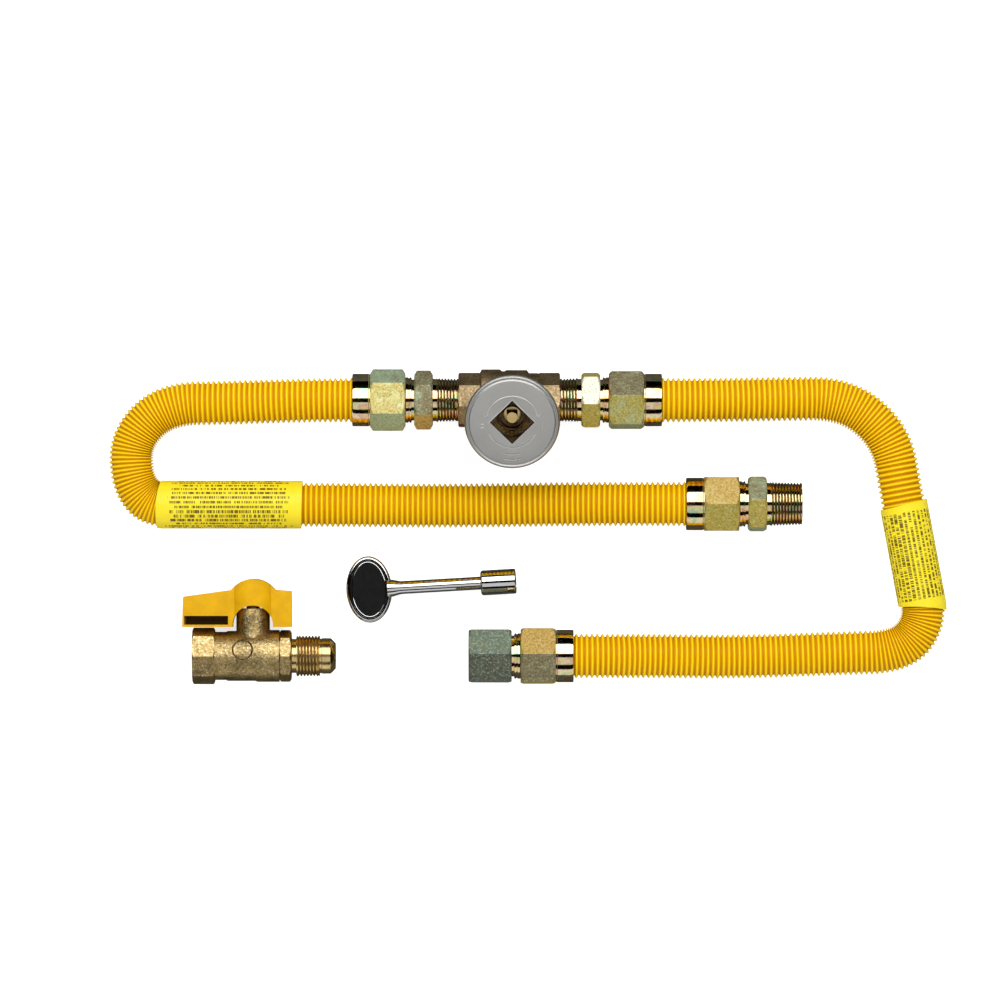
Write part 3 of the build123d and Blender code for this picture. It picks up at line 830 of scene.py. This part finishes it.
def socket_adapter(end):
    """A long hexagon with a female pipe thread."""
    bar = hexagon_adapter(end, SOCKET_END)
    floor = SOCKET_END - 16.0
    bar.turned((SOCKET_END, 14.2), (SOCKET_END - 1.1, PIPE_THREAD_R))
    bar.thread(SOCKET_END - 1.2, floor + 0.8, PIPE_THREAD_R, PIPE_PITCH, PIPE_THREAD_R - ENGAGED_R)
    bar.turned((floor, ENGAGED_R), (floor, BORE_R), (BORE_START, BORE_R))
    fitting(bar, end, "pipe_adapter", "adapter", ENDS[end][3])


# ---- connectors

def corrugated(name, line):
    """A corrugated hose along a line. Bends crowd its rings, and it runs a little into each collar."""
    look = bpy.context.scene.valve_connectors
    around, steps, reach, stride = 40, 10, 0.001, 0.0005
    crowding, smoothing, roundness = 1.1, 13, 0.9
    walk = np.arange(-reach, line.length + reach, stride)
    _, sides, ups = line.frames(walk)
    turning = np.linalg.norm(np.gradient(np.cross(sides, ups), stride, axis=0), axis=1) * look.crest_radius
    spread = np.hanning(2 * smoothing + 1)
    turning = np.convolve(np.pad(turning, smoothing, mode="edge"), spread / spread.sum(), mode="valid")
    pitch = look.pitch / (1 + turning) ** crowding
    passed = np.concatenate([[0.0], np.cumsum(stride / pitch)[:-1]])
    phase = np.arange(0.0, passed[-1], 1 / steps)
    stations = np.interp(phase, passed, walk)
    depth = look.depth * np.sqrt(np.interp(stations, walk, pitch) / look.pitch)
    groove = (0.5 + 0.5 * np.cos(2 * math.pi * phase)) ** roundness
    angles = full_turn(around)
    centres, sides, ups = line.frames(stations)
    across, above = np.cos(angles), np.sin(angles)
    rows = [centre + radius * (np.outer(across, side) + np.outer(above, up))
            for centre, side, up, radius in zip(centres, sides, ups, look.crest_radius - groove * depth)]
    mesh = loft(name, rows, capped=True)
    mark_points(mesh, "groove", np.append(np.repeat(groove, around), [1.0, 1.0]))
    clean(mesh)
    mesh.shade_smooth()
    return mesh


def printed_sleeve(name, line, start, end, leans, flare):
    """A film wrapped round a hose from start to end. Its ends lean, and the top of its far end may lift."""
    near_lean, far_lean = leans
    around, steps = 72, 48
    outer, inner, ruffle_height, flared_part = 0.01415, 0.01378, 0.00006, 0.25
    angles = full_turn(around)
    on_top = np.maximum(0.0, np.sin(angles)) ** 2
    rows, along = [], []
    for radius, fractions in ((outer, np.linspace(0, 1, steps)), (inner, np.linspace(1, 0, steps))):
        for fraction in fractions:
            lean = near_lean * (1 - fraction) + far_lean * fraction
            s = start + (end - start) * fraction + lean * np.cos(angles)
            centres, sides, ups = line.frames(s)
            ruffle = [ruffle_height * noise.noise(Vector((a * 1.5, d * 160, 0))) for a, d in zip(angles, s)]
            lift = flare * max(0.0, fraction - 1 + flared_part) / flared_part * on_top
            r = (radius + np.array(ruffle) + lift)[:, None]
            rows.append(centres + r * (np.cos(angles)[:, None] * sides + np.sin(angles)[:, None] * ups))
            along.append((s - (start + end) / 2) / MM)
    mesh = loft(name, rows)
    girth = 2 * math.pi * outer / MM
    down = ((angles / (2 * math.pi) + 0.25) % 1.0 - 0.5) * girth
    corner_points = np.zeros(len(mesh.loops), dtype=int)
    mesh.loops.foreach_get("vertex_index", corner_points)
    across = np.tile(down, len(rows))[corner_points].reshape(-1, 4)
    seam = across.max(1) - across.min(1) > girth / 4
    across[seam] = np.where(across[seam] < 0, across[seam] + girth, across[seam])
    uv = np.stack([np.concatenate(along)[corner_points], across.ravel()], 1)
    mesh.uv_layers.new(name="print").data.foreach_set("uv", uv.ravel().astype(np.float32))
    mark_points(mesh, "half_length", np.full(len(mesh.vertices), (end - start) / 2 / MM))
    clean(mesh)
    crisp(mesh, 40)
    return mesh


def connector(side, route, label_from, label_to, leans, flare=0.0):
    """One hose with its printed film. It gathers the film and the pieces on its free end in a list that
    nothing uses.
    """
    line = Route(route)
    hose = add_piece(f"{side}_corrugated_hose", corrugated(f"{side}_corrugated_hose", line), LINE,
                     ["hose_coating"], [f"{side}_hose"])
    sleeve = printed_sleeve(f"{side}_printed_film", line, line.nearest(label_from), line.nearest(label_to),
                            leans, flare)
    film = add_piece(f"{side}_printed_film", sleeve, LINE, ["label_film"], [f"{side}_label"])
    on_it = [film, frame["nodes"][f"{side}_free_flare_ring"]]
    on_it += [bpy.data.objects[f"{side}_free_{kind}"] for kind in ("flare_nut", "pipe_adapter")]
    return hose


# ---- floor flange

def ridge(points, width, height=0.32, sunk=0.15):
    """A low raised line through points given in a frame, in millimetres, with the frame's Z as up."""
    base_width, top_width = 1.25, 0.6
    rows = []
    for i, point in enumerate(points):
        before, after = points[max(0, i - 1)], points[min(len(points) - 1, i + 1)]
        ahead = (Vector(after) - Vector(before)).normalized()
        across = Vector((0, 0, 1)).cross(ahead).normalized() * width / 2
        base, top = Vector(point) - Vector((0, 0, sunk)), Vector(point) + Vector((0, 0, height))
        rows.append([base - across * base_width, base + across * base_width,
                     top + across * top_width, top - across * top_width])
    return loft("ridge", rows, capped=True)


def arc(radius, start, end, height, steps=28):
    """Points on an arc, with angles in degrees from the frame's X towards its Y."""
    angles = np.radians(np.linspace(start, end, steps))
    return [(radius * math.cos(a), radius * math.sin(a), height) for a in angles]


def joined(name, meshes, matrix):
    """Several closed meshes as one, moved from millimetres in a frame to their place."""
    work = bmesh.new()
    for mesh in meshes:
        work.from_mesh(mesh)
        bpy.data.meshes.remove(mesh)
    bmesh.ops.recalc_face_normals(work, faces=work.faces)
    work.transform(matrix @ Matrix.Scale(MM, 4))
    together = bpy.data.meshes.new(name)
    work.to_mesh(together)
    work.free()
    crisp(together, 40)
    return together


OPENING_REACH = 0.0135  # how far the corners of the square opening are from the stem's axis


def flange_markings():
    """The raised turning arc with its two arrowheads, a bar and a ring for open and shut, a line round the
    opening, and dashes."""
    face, sweep, head, aside = 56.0, 15.6, 2.6, 17.6
    start, end = 10.0, 170.0
    marks = [ridge(line, 0.7) for line in (arc(sweep, start, end, face),
                                           arc(OPENING_REACH / MM, 90, 450, face, 5))]
    for angle in (start, end):
        tip = Vector(arc(sweep, angle, angle, face, 1)[0])
        for side in (-1, 1):
            wing = tip + Vector((side * head * 0.55, head, 0))
            marks.append(ridge([tip, tip.lerp(wing, 0.5), wing], 0.5))
    marks.append(ridge([(aside, y, face) for y in (-3.6, -2.2, -0.8)], 0.6))
    marks.append(ridge([(x - aside, y - 2.2, z) for x, y, z in arc(1.2, 0, 330, face, 14)], 0.5))
    dash, dash_step = 2.6, 5
    for radius, first, last in ((15.4, 208, 332), (19.5, 256, 284), (22.6, 259, 281)):
        for angle in range(first, last, dash_step):
            marks.append(ridge(arc(radius, angle, angle + dash, face, 4), 1.1, 0.256))
    lean = math.atan2(-STEM_AXIS.y, STEM_AXIS.z)
    mesh = joined("flange_markings", marks, upright(STEM_FOOT, lean))
    add_piece("flange_markings", mesh, "flange", ["bright_chrome"])


# ---- ball valve

BALL_VALVE = upright(SPINDLE_FOOT, -math.pi / 2)


def flare_fitting():
    """The bright flare end: an octagonal ring, a neck, a thread and a coned nose."""
    bar = Bar(8, 30.6, 0.0)
    bar.turned((10.4, 7.2), (10.4, 11.2), (15.6, 11.2))
    bar.prism(15.6, 22.7)
    bar.turned((22.7, 12.0), (22.7, 10.4), (23.1, 10.0), (25.4, 10.0))
    bar.thread(25.8, 39.3, 12.0, 1.9, 1.15)
    bar.turned((39.6, 10.2), (40.6, 10.2), (40.9, 10.5), (45.7, 10.5), (46.1, 10.3), (48.6, 7.8),
               (48.8, 7.5), (48.5, 7.2), (12.0, 7.2))
    mesh = bar.build("ball_valve_flare_fitting", BALL_VALVE)
    add_piece("ball_valve_flare_fitting", mesh, "ball_valve", ["blasted_brass", "bright_brass"],
              ["ball_valve_flare_end"])


def cast_ring():
    """A plain raised ring cast on the front of the body, and bent round its barrel."""
    barrel, radius, wire, along, up = 14.8, 5.8, 0.5, -5.9, 4.2
    rows = []
    for turn in full_turn(48):
        row = []
        for around in full_turn(8):
            out, height = radius + wire * math.cos(around), barrel + wire * math.sin(around)
            angle = (out * math.sin(turn) + up) / barrel
            row.append((along + out * math.cos(turn), -height * math.cos(angle), height * math.sin(angle)))
        rows.append(row)
    mesh = joined("ball_valve_cast_ring", [loft("ring", rows)], BALL_VALVE)
    add_piece("ball_valve_cast_ring", mesh, "ball_valve", ["shaded_brass"])


# ---- key

def key_frame():
    """The frame of the key as it lies: its origin in the middle of its head, +X along its shaft."""
    corners = [Vector(corner) for face in ("front", "back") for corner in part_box(f"key_badge_{face}")]
    centre = sum(corners, Vector()) / len(corners)
    heading, slope = math.radians(3.3), math.radians(-2.1)
    return Matrix.Translation(centre) @ Matrix.Rotation(heading, 4, "Z") @ Matrix.Rotation(slope, 4, "Y")


def badge_bead(side, face):
    """The thin bright line round a badge."""
    half_length, half_width, level, wire = 10.0, 16.15, 2.68, 0.3
    section = [(wire * math.cos(a), Vector((0, 0, wire * math.sin(a)))) for a in full_turn(8)]
    rows = []
    for turn in full_turn(72):
        centre = Vector((half_length * math.cos(turn), half_width * math.sin(turn), level * face))
        out = Vector((math.cos(turn) / half_length, math.sin(turn) / half_width, 0)).normalized()
        rows.append([centre + out * aside + up for aside, up in section])
    mesh = joined(f"key_badge_bead_{side}", [loft("bead", rows)], key_frame())
    add_piece(f"key_badge_bead_{side}", mesh, "valve_key", ["bright_chrome"])


# ---- stage

def floor_finish(stage):
    """A pale floor that glows a little where it is looked at, and is dark in the metal's reflections."""
    finish = Finish("studio_floor", tuple(stage.floor), roughness=0.9, emission_strength=1.0)
    path = finish.add("ShaderNodeLightPath").outputs
    finish.feed("Base Color", finish.mix(path["Is Glossy Ray"], tuple(stage.floor), (0.05, 0.05, 0.045)))
    finish.feed("Emission Color", finish.mix(path["Is Camera Ray"], (0.0, 0.0, 0.0), (0.7, 0.7, 0.7)))
    return finish


def soft_light(name, middle, angle, distance, size, watts):
    """A large soft light that faces the set's middle from an angle off the vertical, towards +Y."""
    lamp = bpy.data.lights.new(name, "AREA")
    lamp.shape = "RECTANGLE"
    lamp.size, lamp.size_y = size
    lamp.energy = watts
    light = bpy.data.objects.new(name, lamp)
    bpy.context.scene.collection.objects.link(light)
    lean = math.radians(angle)
    light.location = middle + Vector((0.0, distance * math.sin(lean), distance * math.cos(lean)))
    light.rotation_euler = (-lean, 0.0, 0.0)
    light.visible_camera = False


class VALVESET_OT_stage(bpy.types.Operator):
    """Lay the floor, hang the lights and place the camera over the set"""
    bl_idname = "valveset.stage"
    bl_label = "Stage"

    def execute(self, context):
        stage = context.scene.valve_stage
        low, high = (Vector(corner) for corner in CAD_BOX)
        middle = (low + high) / 2
        middle.z = 0.0
        mesh = bpy.data.meshes.new("studio_floor")
        reach = 4.0
        corners = [(x * reach, y * reach, 0) for x, y in ((-1, -1), (1, -1), (1, 1), (-1, 1))]
        mesh.from_pydata(corners, [], [(0, 1, 2, 3)])
        mesh.materials.append(floor_finish(stage).material)
        floor = bpy.data.objects.new("studio_floor", mesh)
        context.scene.collection.objects.link(floor)

        distance = stage.light_height
        soft_light("key_light", middle, 31.5, distance, (2.4, 1.15), stage.key_power)
        soft_light("fill_light", middle, -24.0, distance, (2.0, 0.85), stage.fill_power)
        soft_light("low_light", middle, -80.0, 1.1, (2.4, 0.75), stage.low_power)

        world = bpy.data.worlds.new("studio")
        world.use_nodes = True
        nodes = Nodes(world.node_tree)
        path = nodes.add("ShaderNodeLightPath").outputs
        lit = nodes.mix(path["Is Glossy Ray"], tuple(stage.surroundings), (0.0, 0.0, 0.0))
        seen = nodes.mix(path["Is Camera Ray"], lit, (0.93, 0.93, 0.93))
        nodes.tree.links.new(seen, nodes.tree.nodes["Background"].inputs["Color"])
        context.scene.world = world
        context.scene.view_settings.view_transform = "Standard"

        lens = bpy.data.cameras.new("camera")
        lens.lens = lens.sensor_width * (stage.camera_height - PIPE_Z) / stage.view_width
        lens.clip_end = 50.0
        camera = bpy.data.objects.new("camera", lens)
        aside, along = stage.view_offset
        camera.location = (middle.x + aside, middle.y + along, stage.camera_height)
        context.scene.collection.objects.link(camera)
        context.scene.camera = camera
        return {"FINISHED"}


class VALVESET_OT_connector_ends(bpy.types.Operator):
    """Make the flare nuts and the adapters of the four connector ends"""
    bl_idname = "valveset.connector_ends"
    bl_label = "Connector ends"

    def execute(self, context):
        for end in ENDS:
            flare_nut(end)
            carry_over(f"{end}_flare_ring")
        pipe_adapter("left_valve", free=False)
        pipe_adapter("right_valve", free=False)
        pipe_adapter("left_free", free=True)
        socket_adapter("right_free")
        return {"FINISHED"}


class VALVESET_OT_connectors(bpy.types.Operator):
    """Make the two corrugated hoses and their printed films"""
    bl_idname = "valveset.connectors"
    bl_label = "Connectors"

    def execute(self, context):
        low, high = map(Vector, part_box("left_label"))
        middle = (low + high) / 2
        start, end = (Vector((x, middle.y, middle.z)) for x in (low.x - 0.0034, high.x - 0.0013))
        connector("left", LEFT_ROUTE, start, end, (-0.0019, 0.0004))
        corner = Vector(RIGHT_ROUTE[4])
        down = (Vector(RIGHT_ROUTE[7]) - corner).normalized()
        start, end = corner + down * 0.042, corner + down * 0.1025
        connector("right", RIGHT_ROUTE, start, end, (-0.0009, 0.0022), 0.0008)
        return {"FINISHED"}


class VALVESET_OT_key_valve(bpy.types.Operator):
    """Finish the key valve: its forging, cap, gland nut, stop pin and stem, and what is inside"""
    bl_idname = "valveset.key_valve"
    bl_label = "Key valve"

    def execute(self, context):
        eased_piece("key_valve_body", LINE, 0.6, segments=3)
        eased_piece("key_valve_end_cap", LINE, 0.5, segments=3)
        # Painted shade: the gland nut and the stop pin, down in the pocket, are dark brass.
        eased_piece("key_valve_gland_nut", LINE, 0.25, finish="shaded_brass")
        eased_piece("key_valve_stop_pin", LINE, 0.3, finish="shaded_brass")
        stem = eased_piece("key_valve_stem", "key_stem", 0.3)
        # Painted shade: the stem's sides, down in the opening, are dark brass; only its top keeps its own
        # finish.
        second_finish(stem, "shaded_brass", lambda _, facing: facing.dot(STEM_AXIS) < 0.8)
        carry_over("key_valve_ball", "key_valve_seats", "key_valve_thrust_washer", "key_valve_packing")
        return {"FINISHED"}


class VALVESET_OT_floor_flange(bpy.types.Operator):
    """Finish the round floor flange and raise its markings"""
    bl_idname = "valveset.floor_flange"
    bl_label = "Floor flange"

    def execute(self, context):
        flange = eased_piece("floor_flange", "flange", 0.18)
        # Painted shade: faces down in the square opening are dark steel.
        second_finish(flange, "shaded_plating", lambda spot, facing: facing.dot(STEM_AXIS) < 0.5 and
                      (spot - STEM_FOOT).cross(STEM_AXIS).length < OPENING_REACH)
        flange_markings()
        return {"FINISHED"}


class VALVESET_OT_ball_valve(bpy.types.Operator):
    """Finish the loose ball valve's body and make its flare end"""
    bl_idname = "valveset.ball_valve"
    bl_label = "Ball valve"

    def execute(self, context):
        eased_piece("ball_valve_body", "ball_valve", 0.7, segments=3)
        flare_fitting()
        cast_ring()
        carry_over("ball_valve_seats", "ball_valve_thrust_washer", "ball_valve_o_rings")
        return {"FINISHED"}


class VALVESET_OT_lever(bpy.types.Operator):
    """Finish the ball valve's painted lever, its screw and its spindle"""
    bl_idname = "valveset.lever"
    bl_label = "Lever"

    def execute(self, context):
        lever = eased_piece("ball_valve_handle", "ball_valve_lever", 0.8, segments=3)
        # Painted shade: upward faces down in the lever's hollow are dark paint.
        hollow = SPINDLE_FOOT.z + 0.0055
        second_finish(lever, "shaded_paint", lambda spot, facing: facing.z > 0.5 and spot.z < hollow)
        eased_piece("ball_valve_handle_screw", "ball_valve_lever", 0.25)
        carry_over("ball_valve_spindle", "ball_valve_ball")
        return {"FINISHED"}


class VALVESET_OT_valve_key(bpy.types.Operator):
    """Finish the loose key with its socket and its two badges"""
    bl_idname = "valveset.valve_key"
    bl_label = "Key"

    def execute(self, context):
        eased_piece("key_blank", "valve_key", 0.5, segments=3)
        eased_piece("key_socket", "valve_key", 0.3)
        for side, face in (("front", 1), ("back", -1)):
            carry_over(f"key_badge_{side}")
            badge_bead(side, face)
        return {"FINISHED"}


OPERATORS = (
    VALVESET_OT_stage, VALVESET_OT_connector_ends, VALVESET_OT_connectors, VALVESET_OT_key_valve,
    VALVESET_OT_floor_flange, VALVESET_OT_ball_valve, VALVESET_OT_lever, VALVESET_OT_valve_key,
)


class VALVESET_PT_panel(bpy.types.Panel):
    """Lists the pieces in the order that they are made"""
    bl_idname = "VALVESET_PT_panel"
    bl_label = "Valve set"
    bl_space_type = "VIEW_3D"
    bl_region_type = "UI"
    bl_category = "Valve set"

    def draw(self, context):
        for name, group in GROUPS.items():
            box = self.layout.box()
            for key in group.__annotations__:
                box.prop(getattr(context.scene, name), key)
        for operator in OPERATORS:
            self.layout.operator(operator.bl_idname)


def register():
    for name, group in GROUPS.items():
        bpy.utils.register_class(group)
        setattr(bpy.types.Scene, name, bpy.props.PointerProperty(type=group))
    for operator in OPERATORS:
        bpy.utils.register_class(operator)
    bpy.utils.register_class(VALVESET_PT_panel)


def unregister():
    bpy.utils.unregister_class(VALVESET_PT_panel)
    for operator in reversed(OPERATORS):
        bpy.utils.unregister_class(operator)
    for name, group in GROUPS.items():
        delattr(bpy.types.Scene, name)
        bpy.utils.unregister_class(group)


def main():
    register()
    bpy.ops.valveset.stage()
    bpy.ops.valveset.connector_ends()
    bpy.ops.valveset.connectors()
    bpy.ops.valveset.key_valve()
    bpy.ops.valveset.floor_flange()
    bpy.ops.valveset.ball_valve()
    bpy.ops.valveset.lever()
    bpy.ops.valveset.valve_key()


if __name__ == "__main__":
    main()
